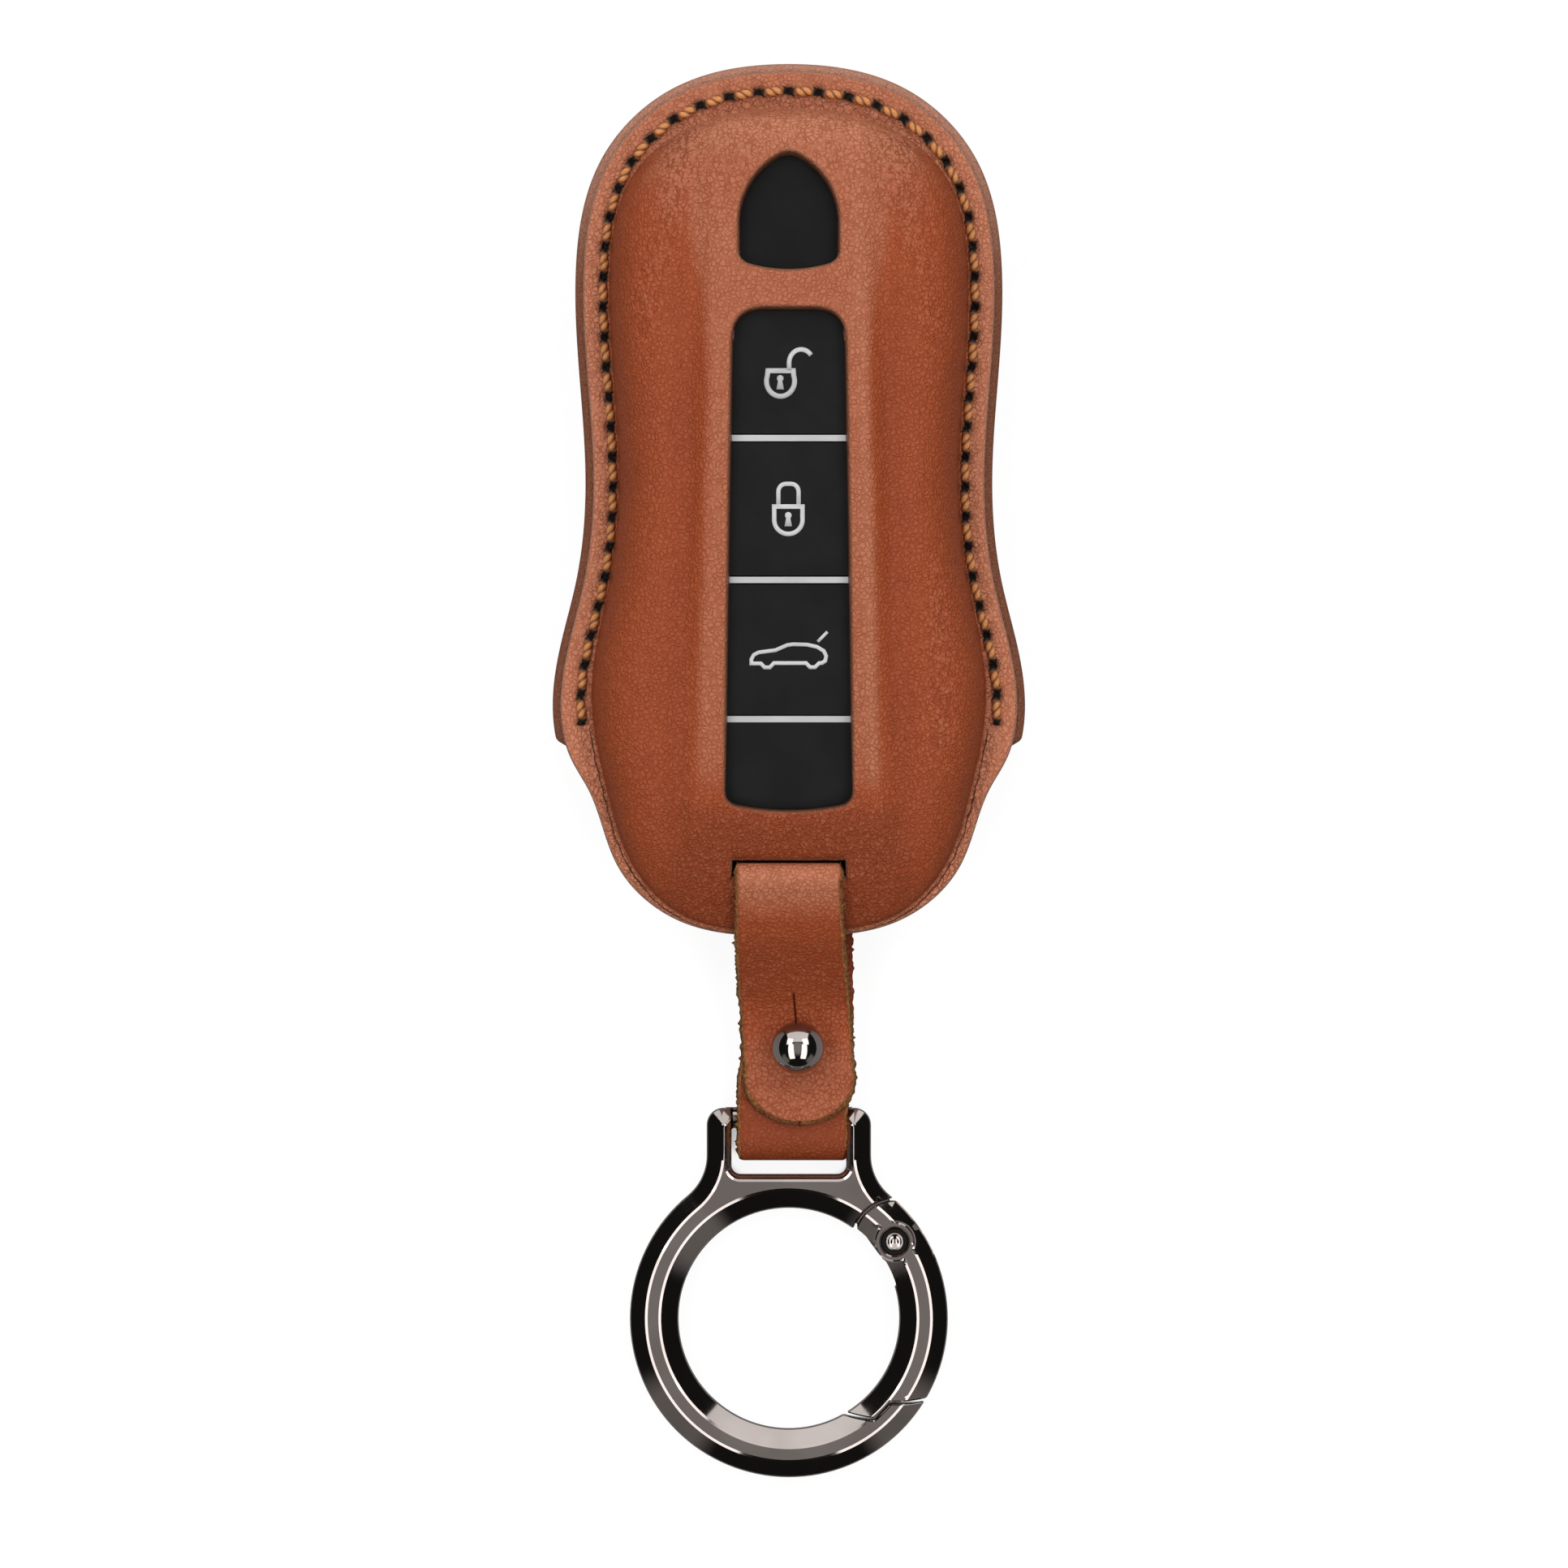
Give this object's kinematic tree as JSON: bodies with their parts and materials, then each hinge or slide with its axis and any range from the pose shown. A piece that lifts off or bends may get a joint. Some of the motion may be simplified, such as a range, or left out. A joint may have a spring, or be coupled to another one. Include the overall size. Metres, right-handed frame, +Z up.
{
  "type": "key fob cover",
  "caption": "Moulded leather key fob cover sewn round a car remote, with button and arch windows, a studded keeper strap and a spring-gate ring.",
  "frame": {"origin": "middle of the flat back, on the table that the cover lies on", "axes": "+Z up through the button face, +Y along the cover to its rounded head, -Y to the strap and ring"},
  "size_m": [0.0534, 0.1599, 0.0198],
  "materials": {
    "cognac_leather": "smooth moulded full grain, cut edges left raw",
    "strap_leather": "smooth, raw tan cut edges",
    "tan_thread": "waxed twisted thread",
    "gunmetal": "polished dark nickel",
    "spring_steel": "drawn wire",
    "black_case": "smooth black",
    "black_keys": "fine matt",
    "bright_trim": "bright plated",
    "grey_rubber": "matt",
    "green_board": "solder mask",
    "plated_steel": "nickel plated"
  },
  "bodies": {
    "cover": {"front_panel": "cognac_leather", "back_panel": "cognac_leather", "seam_stitches": "tan_thread", "keeper_strap": "strap_leather", "stud_head": "gunmetal", "stud_screw": "gunmetal", "remote_upper_shell": "black_case", "remote_lower_shell": "black_case", "strip_end_cap": "black_keys", "divider_bars": "bright_trim", "keypad_mat": "grey_rubber", "circuit_board": "green_board", "dome_switches": "plated_steel", "coin_cell": "plated_steel", "battery_contact": "plated_steel", "battery_clip": "plated_steel"},
    "unlock_button": {"unlock_button": "black_keys"},
    "lock_button": {"lock_button": "black_keys"},
    "boot_button": {"boot_button": "black_keys"},
    "ring": {"ring_frame": "gunmetal", "gate_pin": "gunmetal", "gate_spring": "spring_steel"},
    "gate": {"ring_gate": "gunmetal"}
  },
  "joints": [
    {"name": "unlock_press", "type": "slide", "parent": "cover", "child": "unlock_button", "axis": [0, 0, -1], "range_m": [0, 0.0005], "stiffness_N_per_m": 800, "deforming": ["keypad_mat"]},
    {"name": "lock_press", "type": "slide", "parent": "cover", "child": "lock_button", "axis": [0, 0, -1], "range_m": [0, 0.0005], "stiffness_N_per_m": 800, "deforming": ["keypad_mat"]},
    {"name": "boot_press", "type": "slide", "parent": "cover", "child": "boot_button", "axis": [0, 0, -1], "range_m": [0, 0.0005], "stiffness_N_per_m": 800, "deforming": ["keypad_mat"]},
    {"name": "ring_swing", "type": "hinge", "parent": "cover", "child": "ring", "pos_m": [0, -0.0702, 0.0028], "axis": [-1, 0, 0], "range_deg": [-100, 100]},
    {"name": "gate_open", "type": "hinge", "parent": "ring", "child": "gate", "pos_m": [0.01197, -0.0842, 0.0028], "axis": [0, 0, -1], "range_deg": [0, 45], "stiffness_Nm_per_rad": 0.05, "springref_deg": -17.19}
  ]
}
